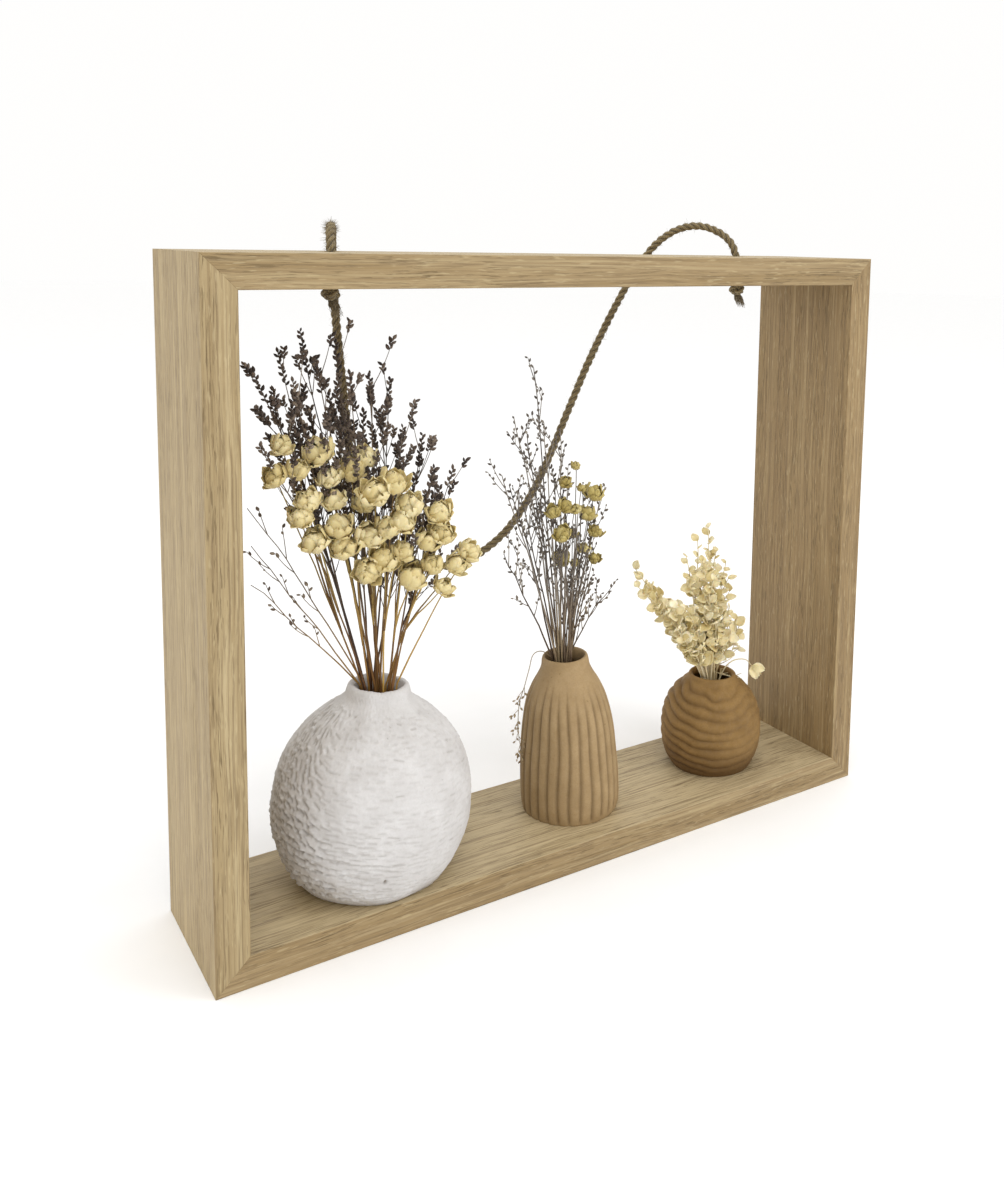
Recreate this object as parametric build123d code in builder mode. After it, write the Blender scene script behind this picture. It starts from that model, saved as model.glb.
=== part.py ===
from build123d import *
import math
import os

# A box frame of four mitred oak boards that stands on a shelf or hangs from a rope. Three
# small vases stand loose on its bottom board, each with its own dried flowers.
# Millimetres. X runs along the frame, -Y faces the viewer and +Z is up.
# The origin is the middle of the underside of the bottom board.

# --- Boards -------------------------------------------------------------------------------
WIDTH = 300.0
HEIGHT = 250.0
DEPTH = 62.0
BOARD = 12.0
SHELF = BOARD
CEILING = HEIGHT - BOARD

# --- Dowels that hold each mitre ------------------------------------------------------------
DOWEL_R = 1.5
DOWEL_LENGTH = 10.0
DOWEL_Y = (-17.0, 17.0)

# --- Rope -----------------------------------------------------------------------------------
ROPE_D = 4.0
ROPE_HOLE_D = 7.0
ROPE_X = 96.0
KNOT_R = 4.6
KNOT_HEIGHT = 8.0
TUFT_R = 3.0
TUFT_LENGTH = 7.0

# The rope's route, from the left knot up through the top board, over its back edge, down
# behind the frame in one slack loop and up again to the right knot.
ROPE_ROUTE = [
    (-96.0, 0.0, 238.0),
    (-96.0, 0.0, 249.5),
    (-93.5, 7.0, 258.0),
    (-88.5, 20.0, 260.0),
    (-83.0, 33.5, 256.5),
    (-80.5, 40.5, 246.0),
    (-79.5, 41.5, 229.0),
    (-77.0, 40.5, 201.0),
    (-74.5, 40.0, 171.0),
    (-69.0, 39.5, 144.0),
    (-54.5, 39.0, 121.5),
    (-31.0, 39.0, 112.0),
    (-4.5, 39.5, 121.0),
    (15.0, 40.0, 144.5),
    (29.0, 40.5, 173.5),
    (42.0, 41.0, 200.0),
    (56.0, 41.5, 224.0),
    (67.5, 41.0, 242.0),
    (76.5, 34.0, 258.0),
    (85.0, 20.0, 265.0),
    (93.5, 7.0, 260.5),
    (96.0, 0.0, 251.0),
    (96.0, 0.0, 238.0),
]
ARC_SHARE = 0.45

# --- Vases ----------------------------------------------------------------------------------
WALL = 3.0
WHITE_X = -83.0
WHITE_LEAN = 0.062
WHITE_BASE_R = 27.5
WHITE_BODY_R = 38.0
WHITE_BODY_Z = 27.0
WHITE_SHOULDER_Z = 69.5
WHITE_COLLAR_R = 13.0
WHITE_MOUTH_R = 9.6
WHITE_HEIGHT = 73.5

FLUTED_X = 9.6
FLUTED_LEAN = -0.056
FLUTED_BASE_R = 19.0
FLUTED_BODY_R = 20.8
FLUTED_NECK_R = 10.3
FLUTED_MOUTH_R = 8.2
FLUTED_HEIGHT = 68.0
FLUTES = 22
FLUTE_CUT_R = 2.6
FLUTE_DEPTH = 0.55
FLUTE_CENTRE_R = FLUTED_BODY_R + FLUTE_CUT_R - FLUTE_DEPTH
FLUTE_TOP_Z = 47.0

RIBBED_X = 88.0
RIBBED_BASE_R = 18.5
RIBBED_BODY_R = 23.2
RIBBED_BODY_Z = 18.0
RIBBED_MOUTH_R = 9.0
RIBBED_HEIGHT = 43.0
RIBS = 9
RIB_RELIEF = 0.5

# --- Dried flowers --------------------------------------------------------------------------
GOLDEN_TURN = math.radians(137.5)
STEM_R = 0.55
STEM_SPACING = 0.9
STEM_FLOOR_GAP = 0.6

# Each spread is the lean for each millimetre off the bunch's centre along X and along Y, and
# the lean of the whole bunch along X.
WHITE_SPREAD = (0.12, 0.065, -0.06)
WHITE_BUNCH_SHIFT = -2.5
STATICE_STEMS = 10
STATICE_SPIKE = 44.0
STATICE_TIP_Z = 181.0
STATICE_DROP = 42.0
CREAM_STEMS = 11
CREAM_TIP_Z = 178.0
CREAM_DROP = 62.0
CREAM_HEAD_R = 4.8

FLUTED_SPREAD = (0.085, 0.06, -0.03)
FLUTED_BUNCH_SHIFT = -2.2
TWIG_STEMS = 6
TWIG_TIP_Z = 205.0
TWIG_DROP = 62.0
YELLOW_STEMS = 7
YELLOW_TIP_Z = 156.0
YELLOW_DROP = 48.0
YELLOW_HEAD_R = 4.4

RIBBED_SPREAD = (0.17, 0.12, -0.12)
RIBBED_BUNCH_SHIFT = -3.0
SPRAY_SPACING = 1.1
SPRAY_STEMS = 7
SPRAY_TIP_Z = 104.0
SPRAY_DROP = 24.0
SPRAY_LENGTH = 22.0


# --- Boards and dowels ----------------------------------------------------------------------
def board_plane(side):
    """The plane of a board's front face, local Y pointing into the frame."""
    middle = HEIGHT / 2
    if side == "bottom":
        return Plane((0, -DEPTH / 2, 0), x_dir=(1, 0, 0), z_dir=(0, -1, 0))
    if side == "top":
        return Plane((0, -DEPTH / 2, HEIGHT), x_dir=(-1, 0, 0), z_dir=(0, -1, 0))
    if side == "left":
        return Plane((-WIDTH / 2, -DEPTH / 2, middle), x_dir=(0, 0, -1), z_dir=(0, -1, 0))
    return Plane((WIDTH / 2, -DEPTH / 2, middle), x_dir=(0, 0, 1), z_dir=(0, -1, 0))


def dowel_planes():
    """Each dowel's mid plane, on the diagonal of a corner, its normal along the dowel."""
    planes = []
    for sx in (-1, 1):
        for z, sz in ((BOARD / 2, 1), (HEIGHT - BOARD / 2, -1)):
            for y in DOWEL_Y:
                centre = (sx * (WIDTH / 2 - BOARD / 2), y, z)
                planes.append(Plane(centre, x_dir=(0, 1, 0), z_dir=(sx, 0, sz)))
    return planes


def make_board(side, half_length, holes):
    with BuildPart() as board:
        with BuildSketch(board_plane(side)):
            with BuildLine():
                Polyline(
                    (-half_length, 0),
                    (half_length, 0),
                    (half_length - BOARD, BOARD),
                    (-half_length + BOARD, BOARD),
                    close=True,
                )
            make_face()
        extrude(amount=-DEPTH)
        for plane in dowel_planes():
            with BuildSketch(plane):
                Circle(DOWEL_R)
            extrude(amount=DOWEL_LENGTH / 2, both=True, mode=Mode.SUBTRACT)
        if holes:
            with Locations((-ROPE_X, 0, HEIGHT), (ROPE_X, 0, HEIGHT)):
                Hole(ROPE_HOLE_D / 2, depth=BOARD)
    board.part.label = f"{side}_board"
    return board.part


def make_dowels():
    with BuildPart() as corner_dowels:
        for plane in dowel_planes():
            with BuildSketch(plane):
                Circle(DOWEL_R)
            extrude(amount=DOWEL_LENGTH / 2, both=True)
    corner_dowels.part.label = "corner_dowels"
    return corner_dowels.part


# --- Rope -----------------------------------------------------------------------------------
def arc_radii(route):
    """Each corner's arc: as large as the shorter of its two runs allows."""
    points = [Vector(*p) for p in route]
    radii = []
    for before, corner, after in zip(points, points[1:], points[2:]):
        run_in = corner - before
        run_out = after - corner
        turn = math.radians(run_in.get_angle(run_out))
        radii.append(ARC_SHARE * min(run_in.length, run_out.length) / math.tan(turn / 2))
    return radii


def make_rope():
    radii = arc_radii(ROPE_ROUTE)
    print("rope arc radii", [round(r, 1) for r in radii])
    with BuildPart() as hanging_rope:
        with BuildLine() as route:
            FilletPolyline(*ROPE_ROUTE, radius=radii)
        with BuildSketch(Plane(ROPE_ROUTE[0], z_dir=(0, 0, 1))):
            Circle(ROPE_D / 2)
        sweep()
    length = route.wires()[0].length
    section = math.pi * (ROPE_D / 2) ** 2
    print("rope length", round(length, 1), "section x length", round(length * section))
    print("rope volume", round(hanging_rope.part.volume))
    hanging_rope.part.label = "hanging_rope"
    return hanging_rope.part


def make_knot(side, x):
    """The stopper knot against the underside of the top board."""
    with BuildPart() as knot:
        with BuildSketch(Plane.XY.offset(CEILING - KNOT_HEIGHT)):
            with Locations((x, 0)):
                Circle(KNOT_R)
        extrude(amount=KNOT_HEIGHT)
        fillet(knot.edges().filter_by(GeomType.CIRCLE), KNOT_R / 2)
    knot.part.label = f"knot_{side}"
    return knot.part


def make_tuft(side, x):
    """The frayed tail that hangs out of the knot."""
    with BuildPart() as tuft:
        with BuildSketch(Plane.XY.offset(CEILING - KNOT_HEIGHT)):
            with Locations((x, 0)):
                Circle(ROPE_D / 2)
        with BuildSketch(Plane.XY.offset(CEILING - KNOT_HEIGHT - TUFT_LENGTH)):
            with Locations((x, 0)):
                Circle(TUFT_R)
        loft()
    tuft.part.label = f"rope_tail_{side}"
    return tuft.part


# --- Vases ----------------------------------------------------------------------------------
def vase_plane(x, lean):
    """A vase's half section stands in this plane, local Y along its slightly leaning axis."""
    return Plane((x, 0, SHELF), x_dir=(1, 0, -lean), z_dir=(0, -1, 0))


def make_vase(name, x, lean, wall_points, neck, flutes=0):
    """A thrown vase: its wall follows wall_points up to the neck (outer radius, mouth
    radius, foot of the neck, height), and its foot is cut flat on the shelf."""
    neck_r, mouth_r, neck_z, height = neck
    plane = vase_plane(x, lean)
    axis = Axis(plane.origin, plane.y_dir)
    inner_points = [(max(r - WALL, mouth_r), z + WALL / 3) for r, z in wall_points]
    inner_points[0] = (wall_points[0][0] - WALL, WALL)
    with BuildPart() as vase:
        with BuildSketch(plane):
            with BuildLine():
                wall = Spline(*wall_points, (neck_r, neck_z))
                Polyline(
                    wall @ 1,
                    (neck_r, height),
                    (0, height),
                    (0, (wall @ 0).Y),
                    wall @ 0,
                )
            make_face()
        revolve(axis=axis)
        for turn in range(flutes):
            with BuildSketch(plane.rotated((-90, 0, 0))):
                with PolarLocations(FLUTE_CENTRE_R, 1, 360 * turn / flutes):
                    Circle(FLUTE_CUT_R)
            extrude(amount=FLUTE_TOP_Z, mode=Mode.SUBTRACT)
        with BuildSketch(plane):
            with BuildLine():
                inside = Spline(*inner_points, (mouth_r, neck_z))
                Polyline(
                    inside @ 1,
                    (mouth_r, height + WALL),
                    (0, height + WALL),
                    (0, (inside @ 0).Y),
                    inside @ 0,
                )
            make_face()
        revolve(axis=axis, mode=Mode.SUBTRACT)
        split(bisect_by=Plane.XY.offset(SHELF), keep=Keep.TOP)
    vase.part.label = name
    return vase.part


WHITE_WALL = [
    (WHITE_BASE_R - 3.0, -3.0),
    (WHITE_BODY_R - 3.5, 10.5),
    (WHITE_BODY_R, WHITE_BODY_Z),
    (WHITE_BODY_R - 3.4, 45.0),
    (WHITE_BODY_R - 12.0, 60.0),
]
FLUTED_WALL = [
    (FLUTED_BASE_R - 1.0, -2.0),
    (FLUTED_BODY_R, 9.0),
    (FLUTED_BODY_R, 25.0),
    (FLUTED_BODY_R - 1.7, 44.0),
    (FLUTED_BODY_R - 5.8, 57.0),
]
RIBBED_WALL = [
    (RIBBED_BASE_R - 2.0, -2.0),
    (RIBBED_BODY_R - 1.0, 9.0),
    (RIBBED_BODY_R, RIBBED_BODY_Z),
    (RIBBED_BODY_R - 2.7, 29.5),
    (RIBBED_BODY_R - 7.4, 37.5),
]


# --- Dried flowers --------------------------------------------------------------------------
def fan_stem(neck, index, spacing, spread, tip_z):
    """Foot, neck and tip of one stem. Stems stand upright side by side below the neck, in
    a sunflower pattern, and above it the outer ones lean out further, so none cross."""
    radius = spacing * math.sqrt(index + 0.3)
    dx = radius * math.cos(index * GOLDEN_TURN)
    dy = radius * math.sin(index * GOLDEN_TURN)
    bend = neck + Vector(dx, dy, 0)
    foot = Vector(bend.X, bend.Y, SHELF + WALL + STEM_FLOOR_GAP)
    lean_x, lean_y, shift_x = spread
    rise = tip_z - neck.Z
    tip = bend + Vector((dx * lean_x + shift_x) * rise, dy * lean_y * rise, rise)
    return foot, bend, tip


def past(stem, length):
    """The point this far beyond the tip of a stem, in line with it."""
    foot, bend, tip = stem
    return tip + (tip - bend).normalized() * length


def make_stems(name, stems, radius):
    """One bent rod for each stem, all in one node."""
    with BuildPart() as bundle:
        for foot, neck, tip in stems:
            with BuildLine() as bend:
                Polyline(foot, neck, tip)
            with BuildSketch(Plane(foot, z_dir=neck - foot)):
                Circle(radius)
            sweep(transition=Transition.RIGHT)
    bundle.part.label = name
    return bundle.part


def make_heads(name, stems, head_r):
    """A round papery head on the end of each stem."""
    with BuildPart() as heads:
        for stem in stems:
            with Locations(past(stem, head_r)):
                Sphere(head_r)
    heads.part.label = name
    return heads.part


def make_spikes(name, stems, length, foot_r, tip_r):
    """A slim tapered spray that carries each stem on."""
    with BuildPart() as spikes:
        for stem in stems:
            foot, bend, tip = stem
            with BuildSketch(Plane(tip, z_dir=tip - bend)):
                Circle(foot_r)
            with BuildSketch(Plane(past(stem, length), z_dir=tip - bend)):
                Circle(tip_r)
            loft()
    spikes.part.label = name
    return spikes.part


def white_bunch():
    neck_z = SHELF + WHITE_HEIGHT
    neck = Vector(WHITE_X + WHITE_LEAN * WHITE_HEIGHT + WHITE_BUNCH_SHIFT, 0, neck_z)
    statice = []
    cream = []
    for index in range(STATICE_STEMS + CREAM_STEMS):
        if index % 2 == 0 and len(statice) < STATICE_STEMS:
            tip_z = STATICE_TIP_Z - STATICE_DROP * len(statice) / STATICE_STEMS
            statice.append(fan_stem(neck, index, STEM_SPACING, WHITE_SPREAD, tip_z))
        else:
            tip_z = CREAM_TIP_Z - CREAM_DROP * len(cream) / CREAM_STEMS
            cream.append(fan_stem(neck, index, STEM_SPACING, WHITE_SPREAD, tip_z))
    return statice, cream


def fluted_bunch():
    neck_z = SHELF + FLUTED_HEIGHT
    neck = Vector(FLUTED_X + FLUTED_LEAN * FLUTED_HEIGHT + FLUTED_BUNCH_SHIFT, 0, neck_z)
    twigs = []
    yellow = []
    for index in range(TWIG_STEMS + YELLOW_STEMS):
        if index % 2 == 0 and len(twigs) < TWIG_STEMS:
            tip_z = TWIG_TIP_Z - TWIG_DROP * len(twigs) / TWIG_STEMS
            twigs.append(fan_stem(neck, index, STEM_SPACING, FLUTED_SPREAD, tip_z))
        else:
            tip_z = YELLOW_TIP_Z - YELLOW_DROP * len(yellow) / YELLOW_STEMS
            yellow.append(fan_stem(neck, index, STEM_SPACING, FLUTED_SPREAD, tip_z))
    return twigs, yellow


def ribbed_bunch():
    neck = Vector(RIBBED_X + RIBBED_BUNCH_SHIFT, 0, SHELF + RIBBED_HEIGHT)
    sprays = []
    for index in range(SPRAY_STEMS):
        tip_z = SPRAY_TIP_Z - SPRAY_DROP * index / SPRAY_STEMS
        sprays.append(fan_stem(neck, index, SPRAY_SPACING, RIBBED_SPREAD, tip_z))
    return sprays


statice_lines, cream_lines = white_bunch()
twig_lines, yellow_lines = fluted_bunch()
spray_lines = ribbed_bunch()

white_neck = (WHITE_COLLAR_R, WHITE_MOUTH_R, WHITE_SHOULDER_Z, WHITE_HEIGHT)
fluted_neck = (FLUTED_NECK_R, FLUTED_MOUTH_R, FLUTED_HEIGHT - 4.0, FLUTED_HEIGHT)
ribbed_neck = (RIBBED_MOUTH_R + 2.4, RIBBED_MOUTH_R, RIBBED_HEIGHT - 1.5, RIBBED_HEIGHT)

pieces = [
    make_board("bottom", WIDTH / 2, False),
    make_board("top", WIDTH / 2, True),
    make_board("left", HEIGHT / 2, False),
    make_board("right", HEIGHT / 2, False),
    make_dowels(),
    make_rope(),
    make_knot("left", -ROPE_X),
    make_knot("right", ROPE_X),
    make_tuft("left", -ROPE_X),
    make_tuft("right", ROPE_X),
    make_vase("white_vase", WHITE_X, WHITE_LEAN, WHITE_WALL, white_neck),
    make_vase("fluted_vase", FLUTED_X, FLUTED_LEAN, FLUTED_WALL, fluted_neck, FLUTES),
    make_vase("ribbed_vase", RIBBED_X, 0.0, RIBBED_WALL, ribbed_neck),
    make_stems("statice_stems", statice_lines, STEM_R),
    make_spikes("statice_spikes", statice_lines, STATICE_SPIKE, 1.6, 2.8),
    make_stems("cream_stems", cream_lines, STEM_R),
    make_heads("cream_heads", cream_lines, CREAM_HEAD_R),
    make_stems("grey_twigs", twig_lines, STEM_R),
    make_stems("yellow_stems", yellow_lines, STEM_R),
    make_heads("yellow_heads", yellow_lines, YELLOW_HEAD_R),
    make_stems("spray_stems", spray_lines, STEM_R),
    make_spikes("leaf_sprays", spray_lines, SPRAY_LENGTH, 3.4, 2.4),
]

os.makedirs("parts", exist_ok=True)
for piece in pieces:
    export_step(piece, f"parts/{piece.label}.step")
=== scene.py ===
import math
import random
from collections import namedtuple

import bmesh
import bpy
from mathutils import Matrix, Vector, noise


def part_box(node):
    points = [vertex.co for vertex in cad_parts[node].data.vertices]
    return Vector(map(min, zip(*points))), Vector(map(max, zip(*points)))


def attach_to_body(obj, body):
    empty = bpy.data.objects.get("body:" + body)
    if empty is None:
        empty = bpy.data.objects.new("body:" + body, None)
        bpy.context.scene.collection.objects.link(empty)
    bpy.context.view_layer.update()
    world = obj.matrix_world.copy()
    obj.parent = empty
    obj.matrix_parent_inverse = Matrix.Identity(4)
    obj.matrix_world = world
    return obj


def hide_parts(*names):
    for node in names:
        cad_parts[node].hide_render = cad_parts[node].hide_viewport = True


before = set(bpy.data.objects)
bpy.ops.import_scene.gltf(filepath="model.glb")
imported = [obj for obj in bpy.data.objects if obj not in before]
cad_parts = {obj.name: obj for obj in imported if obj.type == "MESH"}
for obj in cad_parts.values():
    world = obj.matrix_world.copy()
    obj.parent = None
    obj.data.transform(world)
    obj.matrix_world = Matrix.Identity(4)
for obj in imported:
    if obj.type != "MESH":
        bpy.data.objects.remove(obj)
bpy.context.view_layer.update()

# The looks of a mitred oak box frame with a rope loop and three vases of dried flowers.
# Metres, +Z up, -Y towards the viewer. Places written in millimetres go through mm().


def mm(x, y, z):
    return Vector((x, y, z)) * 0.001


def tone(text):
    """A colour written as six hex digits, in the linear values that shaders take."""
    values = [int(text[i : i + 2], 16) / 255 for i in (0, 2, 4)]
    return (*[v / 12.92 if v <= 0.04045 else ((v + 0.055) / 1.055) ** 2.4 for v in values], 1)


def clamp(value, low=0.0, high=1.0):
    return max(low, min(high, value))


def ease(value, start, end):
    """0 before start, 1 after end and a smooth step between them."""
    share = clamp((value - start) / (end - start))
    return share * share * (3 - 2 * share)


# --- Camera ---------------------------------------------------------------------------------
CAMERA_AT = Vector((-0.243649, -0.395812, 0.255759))
CAMERA_AZIMUTH = math.radians(-34.921)
CAMERA_ELEVATION = math.radians(6.576)
CAMERA_ROLL = math.radians(1.132)
CAMERA_LENS = 33.956
CAMERA_SHIFT = (-0.1, -0.19)


def make_camera():
    level = math.cos(CAMERA_ELEVATION)
    back = Vector(
        (
            math.sin(CAMERA_AZIMUTH) * level,
            -math.cos(CAMERA_AZIMUTH) * level,
            math.sin(CAMERA_ELEVATION),
        )
    )
    right = (-back).cross(Vector((0, 0, 1))).normalized()
    up = right.cross(-back)
    cosine, sine = math.cos(CAMERA_ROLL), math.sin(CAMERA_ROLL)
    axes = Matrix((right * cosine + up * sine, up * cosine - right * sine, back)).transposed()
    data = bpy.data.cameras.new("camera")
    data.lens = CAMERA_LENS
    data.shift_x, data.shift_y = CAMERA_SHIFT
    camera = bpy.data.objects.new("camera", data)
    camera.matrix_world = Matrix.Translation(CAMERA_AT) @ axes.to_4x4()
    bpy.context.scene.collection.objects.link(camera)
    bpy.context.scene.camera = camera


def in_sight(x, z, depth):
    """The point at this depth that covers (x, 0, z) when seen from the camera."""
    share = (CAMERA_AT.y - depth * 0.001) / CAMERA_AT.y
    return CAMERA_AT + (mm(x, 0, z) - CAMERA_AT) * share


# --- Meshes ---------------------------------------------------------------------------------
class Shape:
    """The points and faces of one piece. Each point has a tint, from 0 to 1, which its
    material turns into a shade, and a fibre coordinate for yarn."""

    def __init__(self):
        self.points = []
        self.faces = []
        self.tints = []
        self.fibres = []

    def rings(self, rings, tints, fibres=None, ends=True):
        """Skins a row of rings that all have as many points."""
        sides = len(rings[0])
        first = len(self.points)
        for ring, tint in zip(rings, tints):
            self.points.extend(ring)
            self.tints.extend([tint] * sides if isinstance(tint, float) else tint)
        if fibres:
            self.fibres.extend(fibres)
        for row in range(len(rings) - 1):
            low = first + row * sides
            high = low + sides
            for i in range(sides):
                k = (i + 1) % sides
                self.faces.append((low + i, low + k, high + k, high + i))
        if ends:
            last = first + (len(rings) - 1) * sides
            self.faces.append(tuple(range(first + sides - 1, first - 1, -1)))
            self.faces.append(tuple(range(last, last + sides)))

    def tube(self, line, radii, sides, tint):
        """A round rod along a line, as thick at each point as radii says."""
        rings = []
        for place, radius, (_, side, other) in zip(line, radii, frames_along(line)):
            ring = []
            for i in range(sides):
                turn = 2 * math.pi * i / sides
                ring.append(place + (side * math.cos(turn) + other * math.sin(turn)) * radius)
            rings.append(ring)
        tints = tint if isinstance(tint, list) else [tint] * len(rings)
        self.rings(rings, tints)

    def bud(self, base, direction, length, width, tint):
        """A small ovoid bud that stands on its base."""
        line = [base + direction * length * share for share in BUD_STATIONS]
        self.tube(line, [width / 2 * r for r in BUD_RADII], BUD_SIDES, tint)

    def leaf(self, base, direction, face, length, width, cup, curl, tint):
        """A thin rounded leaf. It cups across its width towards face, and curls along its
        length away from it."""
        side = direction.cross(face).normalized()
        face = side.cross(direction).normalized()
        first = len(self.points)
        for i in range(LEAF_ROWS + 1):
            along = i / LEAF_ROWS
            half = width / 2 * math.sin(math.pi * (0.06 + 0.9 * along**0.85)) ** 0.8
            for j in range(LEAF_COLUMNS + 1):
                across = 2 * j / LEAF_COLUMNS - 1
                lift = cup * width * across * across - curl * length * along * along
                spine = base + direction * length * along
                self.points.append(spine + side * half * across + face * lift)
                self.tints.append(clamp(tint + LEAF_FADE * (along - 0.5)))
        for i in range(LEAF_ROWS):
            for j in range(LEAF_COLUMNS):
                corner = first + i * (LEAF_COLUMNS + 1) + j
                above = corner + LEAF_COLUMNS + 1
                self.faces.append((corner, corner + 1, above + 1, above))


BUD_STATIONS = (0.0, 0.18, 0.45, 0.75, 1.0)
BUD_RADII = (0.35, 0.8, 1.0, 0.72, 0.15)
BUD_SIDES = 6
LEAF_FADE = 0.3
LEAF_ROWS = 4
LEAF_COLUMNS = 4


def frames_along(line):
    """The tangent and two normals at each point of a line, turning as little as they can."""
    last = len(line) - 1
    side = None
    frames = []
    for i in range(len(line)):
        tangent = (line[min(i + 1, last)] - line[max(i - 1, 0)]).normalized()
        side = tangent.orthogonal() if side is None else side - tangent * side.dot(tangent)
        side = side.normalized()
        frames.append((tangent, side, tangent.cross(side)))
    return frames


def evenly(line, step):
    """Points about this far apart along a line, its two ends among them."""
    lengths = [0.0]
    for a, b in zip(line, line[1:]):
        lengths.append(lengths[-1] + (b - a).length)
    count = max(2, round(lengths[-1] / step))
    points = []
    k = 0
    for i in range(count + 1):
        wanted = lengths[-1] * i / count
        while k < len(line) - 2 and lengths[k + 1] < wanted:
            k += 1
        share = (wanted - lengths[k]) / max(lengths[k + 1] - lengths[k], 1e-9)
        points.append(line[k].lerp(line[k + 1], clamp(share)))
    return points


def smooth(points, steps=8):
    """A Catmull-Rom line through these points."""
    line = []
    padded = [points[0] * 2 - points[1], *points, points[-1] * 2 - points[-2]]
    for a, b, c, d in zip(padded, padded[1:], padded[2:], padded[3:]):
        for i in range(steps):
            t = i / steps
            line.append(
                0.5 * (2 * b + (c - a) * t + (2 * a - 5 * b + 4 * c - d) * t**2)
                + 0.5 * (3 * b - a - 3 * c + d) * t**3
            )
    line.append(points[-1].copy())
    return line


def add_object(name, mesh, material):
    obj = bpy.data.objects.new(name, mesh)
    bpy.context.scene.collection.objects.link(obj)
    mesh.materials.append(material)
    return obj


def add_piece(name, shape, material, body, slot, *nodes):
    """Makes a smooth mesh piece that rides on a body and stands for CAD nodes."""
    mesh = bpy.data.meshes.new(name)
    mesh.from_pydata(shape.points, [], shape.faces)
    mesh.attributes.new("tint", "FLOAT", "POINT").data.foreach_set("value", shape.tints)
    if shape.fibres:
        flat = [value for fibre in shape.fibres for value in fibre]
        mesh.attributes.new("fibre", "FLOAT_VECTOR", "POINT").data.foreach_set("vector", flat)
    mesh.polygons.foreach_set("use_smooth", [True] * len(mesh.polygons))
    obj = add_object(name, mesh, material)
    return attach(obj, body, slot, *nodes)


def attach(obj, body, slot, *nodes):
    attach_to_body(obj, body)
    if nodes:
        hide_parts(*nodes)
    return obj


def thicken(obj, thickness):
    """Gives leaves and petals two faces and an edge."""
    solid = obj.modifiers.new("thickness", "SOLIDIFY")
    solid.thickness = thickness
    solid.offset = 0
    settle(obj)


def settle(obj):
    """Bakes an object's modifiers into its mesh."""
    bpy.context.view_layer.update()
    graph = bpy.context.evaluated_depsgraph_get()
    mesh = bpy.data.meshes.new_from_object(obj.evaluated_get(graph))
    obj.modifiers.clear()
    obj.data = mesh


# --- Materials ------------------------------------------------------------------------------
class Finish:
    """A material and short calls that add nodes to it."""

    def __init__(self, name, roughness):
        self.material = bpy.data.materials.new(name)
        self.material.use_nodes = True
        self.tree = self.material.node_tree
        self.shader = self.tree.nodes["Principled BSDF"]
        self.shader.inputs["Roughness"].default_value = roughness

    def add(self, kind, **settings):
        node = self.tree.nodes.new("ShaderNode" + kind)
        for key, value in settings.items():
            setattr(node, key, value)
        return node

    def feed(self, socket, value):
        if isinstance(value, bpy.types.NodeSocket):
            self.tree.links.new(value, socket)
        else:
            socket.default_value = value

    def place(self, scale=(1, 1, 1), shift=(0, 0, 0)):
        """The object's own coordinates in metres, moved and then stretched."""
        moved = self.add("VectorMath", operation="ADD")
        self.feed(moved.inputs[0], self.add("TexCoord").outputs["Object"])
        self.feed(moved.inputs[1], shift)
        return self.stretch(moved.outputs[0], scale)

    def stretch(self, vector, scale):
        node = self.add("VectorMath", operation="MULTIPLY")
        self.feed(node.inputs[0], vector)
        self.feed(node.inputs[1], scale)
        return node.outputs[0]

    def attribute(self, name, output):
        return self.add("Attribute", attribute_name=name).outputs[output]

    def noise(self, vector, scale=1.0, detail=3.0, roughness=0.5, distortion=0.0):
        node = self.add("TexNoise")
        self.feed(node.inputs["Vector"], vector)
        self.feed(node.inputs["Scale"], scale)
        self.feed(node.inputs["Detail"], detail)
        self.feed(node.inputs["Roughness"], roughness)
        self.feed(node.inputs["Distortion"], distortion)
        return node.outputs["Fac"]

    def math(self, operation, *values):
        node = self.add("Math", operation=operation)
        for socket, value in zip(node.inputs, values):
            self.feed(socket, value)
        return node.outputs[0]

    def remap(self, value, low, high, new_low=0.0, new_high=1.0):
        node = self.add("MapRange", interpolation_type="SMOOTHSTEP")
        for key, v in zip(("Value", "From Min", "From Max"), (value, low, high)):
            self.feed(node.inputs[key], v)
        self.feed(node.inputs["To Min"], new_low)
        self.feed(node.inputs["To Max"], new_high)
        return node.outputs[0]

    def ramp(self, value, *stops):
        """A colour for each value, from (place, hex colour) stops."""
        node = self.add("ValToRGB")
        elements = node.color_ramp.elements
        while len(elements) < len(stops):
            elements.new(0.5)
        for element, (position, colour) in zip(elements, stops):
            element.position = position
            element.color = tone(colour)
        self.feed(node.inputs["Fac"], value)
        return node.outputs["Color"]

    def mix(self, share, a, b, blend="MIX"):
        node = self.add("Mix", data_type="RGBA", blend_type=blend)
        self.feed(node.inputs[0], share)
        self.feed(node.inputs[6], a)
        self.feed(node.inputs[7], b)
        return node.outputs[2]

    def bump(self, height, strength, distance):
        node = self.add("Bump")
        self.feed(node.inputs["Height"], height)
        self.feed(node.inputs["Strength"], strength)
        self.feed(node.inputs["Distance"], distance)
        self.feed(self.shader.inputs["Normal"], node.outputs["Normal"])

    def finish(self, colour, roughness=None):
        self.feed(self.shader.inputs["Base Color"], colour)
        if roughness is not None:
            self.feed(self.shader.inputs["Roughness"], roughness)
        return self.material


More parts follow.
